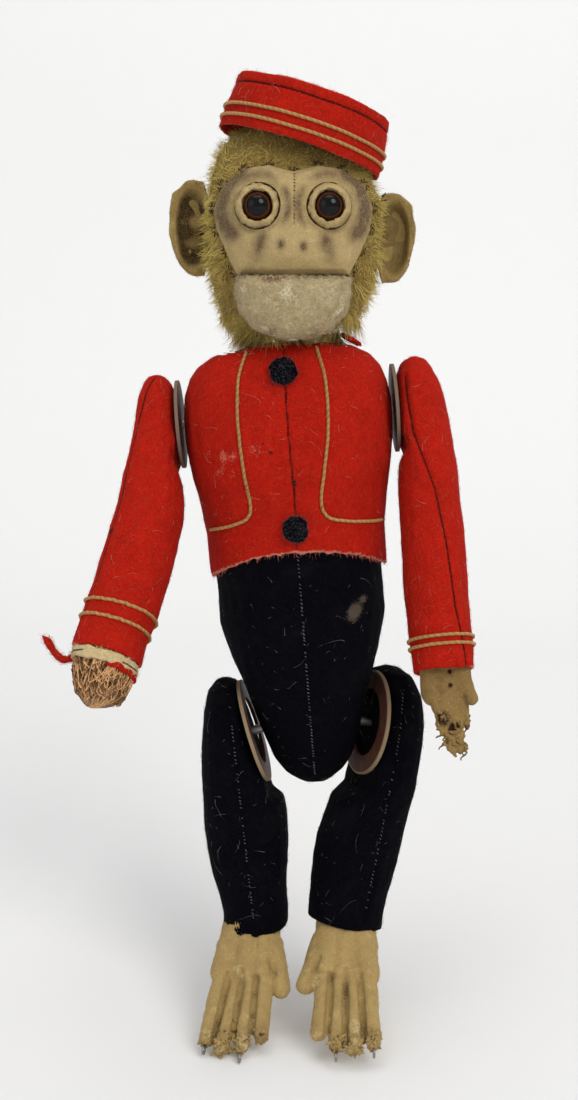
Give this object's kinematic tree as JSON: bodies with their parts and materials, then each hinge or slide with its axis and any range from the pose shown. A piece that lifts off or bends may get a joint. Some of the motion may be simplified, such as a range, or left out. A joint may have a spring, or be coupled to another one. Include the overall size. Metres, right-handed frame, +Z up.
{
  "type": "jointed stuffed monkey toy",
  "caption": "Disc-jointed felt and mohair monkey in a page-boy suit and hat, with a tail lever that turns and nods its head.",
  "frame": {"origin": "middle of the waist, where a stand's grip holds the toy", "axes": "+Z up, the toy faces -Y, its left arm is at +X; the torso leans 4.4 degrees towards -X"},
  "size_m": [0.1318, 0.1066, 0.3224],
  "materials": {
    "red_felt": "worn wool felt, scarlet",
    "black_felt": "worn wool felt, blue-black",
    "tan_felt": "worn wool felt, tan",
    "muzzle_felt": "rubbed cream-grey felt",
    "cream_felt": "cream felt edge",
    "mohair": "olive-gold mohair plush",
    "wood_wool": "loose pine shavings",
    "gold_braid": "twisted gold cotton cord",
    "bright_steel": "drawn wire",
    "tin_plate": "tin-plated sheet",
    "dark_steel": "blackened disc with a bare edge",
    "brown_enamel": "brown lacquer, rubbed at the edge",
    "fibre_board": "pressed fibre board",
    "eye_glass": "brown glass with a black pupil"
  },
  "bodies": {
    "torso": {"jacket": "red_felt", "trouser_seat": "black_felt", "torso_stuffing": "wood_wool", "frame_tube": "tin_plate", "neck_plate": "tin_plate", "lower_bearing": "tin_plate", "collar_stub": "red_felt", "lapel_cord_right": "gold_braid", "lapel_cord_left": "gold_braid", "jacket_buttons": "black_felt", "shoulder_discs": "fibre_board", "shoulder_pins": "bright_steel", "hip_discs": "fibre_board", "hip_pins": "bright_steel"},
    "head_shaft": {"head_shaft": "bright_steel", "shaft_collar": "bright_steel", "swivel_disc": "fibre_board"},
    "head": {"skull_plush": "mohair", "head_stuffing": "wood_wool", "head_bracket": "tin_plate", "nod_axle": "bright_steel", "face": "tan_felt", "muzzle": "muzzle_felt", "eye_right": "eye_glass", "eye_left": "eye_glass", "eyelid_right": "tan_felt", "eyelid_left": "tan_felt", "ear_right": "tan_felt", "ear_left": "tan_felt", "hat_band": "red_felt", "hat_top": "red_felt", "hat_cords": "gold_braid"},
    "nod_rod": {"nod_rod": "bright_steel"},
    "tail": {"tail_lever": "tin_plate", "tail_plush": "mohair"},
    "arm_right": {"sleeve_right": "red_felt", "wood_wool_right": "wood_wool", "cuff_hem_right": "cream_felt", "cuff_cords_right": "gold_braid", "arm_disc_right": "fibre_board", "arm_washer_right": "dark_steel"},
    "arm_left": {"sleeve_left": "red_felt", "stuffing_left": "wood_wool", "cuff_cords_left": "gold_braid", "arm_disc_left": "fibre_board", "arm_washer_left": "dark_steel", "hand_left": "tan_felt"},
    "leg_right": {"trouser_leg_right": "black_felt", "leg_stuffing_right": "wood_wool", "leg_disc_right": "fibre_board", "hip_ring_right": "brown_enamel", "foot_right": "tan_felt", "foot_wires_right": "bright_steel"},
    "leg_left": {"trouser_leg_left": "black_felt", "leg_stuffing_left": "wood_wool", "leg_disc_left": "fibre_board", "hip_ring_left": "brown_enamel", "foot_left": "tan_felt", "foot_wires_left": "bright_steel"}
  },
  "joints": [
    {"name": "head_turn", "type": "hinge", "parent": "torso", "child": "head_shaft", "pos_m": [0, 0.004, 0], "axis": [-0.0767, 0, 0.9971], "range_deg": [-23, 23]},
    {"name": "head_nod", "type": "hinge", "parent": "head_shaft", "child": "head", "pos_m": [-0.00491, 0.004, 0.06381], "axis": [0.9971, 0, 0.0767], "range_deg": [-9, 5]},
    {"name": "nod_rod_slide", "type": "slide", "parent": "head_shaft", "child": "nod_rod", "axis": [-0.0767, 0, 0.9971], "range_m": [-0.0008, 0.0014]},
    {"name": "tail_lift", "type": "hinge", "parent": "head_shaft", "child": "tail", "pos_m": [0.00353, 0.004, -0.04586], "axis": [0.9971, 0, 0.0767], "range_deg": [-10, 6]},
    {"name": "shoulder_right", "type": "hinge", "parent": "torso", "child": "arm_right", "pos_m": [-0.00192, 0, 0.02493], "axis": [-0.9971, 0, -0.0767], "range_deg": [-80, 85]},
    {"name": "shoulder_left", "type": "hinge", "parent": "torso", "child": "arm_left", "pos_m": [-0.00192, 0, 0.02493], "axis": [-0.9971, 0, -0.0767], "range_deg": [-4, 85]},
    {"name": "hip_right", "type": "hinge", "parent": "torso", "child": "leg_right", "pos_m": [-0.01462, 0, -0.08638], "axis": [-0.9541, 0.017, -0.299], "range_deg": [-20, 80]},
    {"name": "hip_left", "type": "hinge", "parent": "torso", "child": "leg_left", "pos_m": [0.02706, 0, -0.08317], "axis": [-0.9292, -0.2955, 0.2217], "range_deg": [-3.5, 48]}
  ],
  "couplings": [
    {"joint": "nod_rod_slide", "follows": "head_nod", "m_per_rad": -0.008},
    {"joint": "tail_lift", "follows": "head_nod", "ratio": 1}
  ]
}
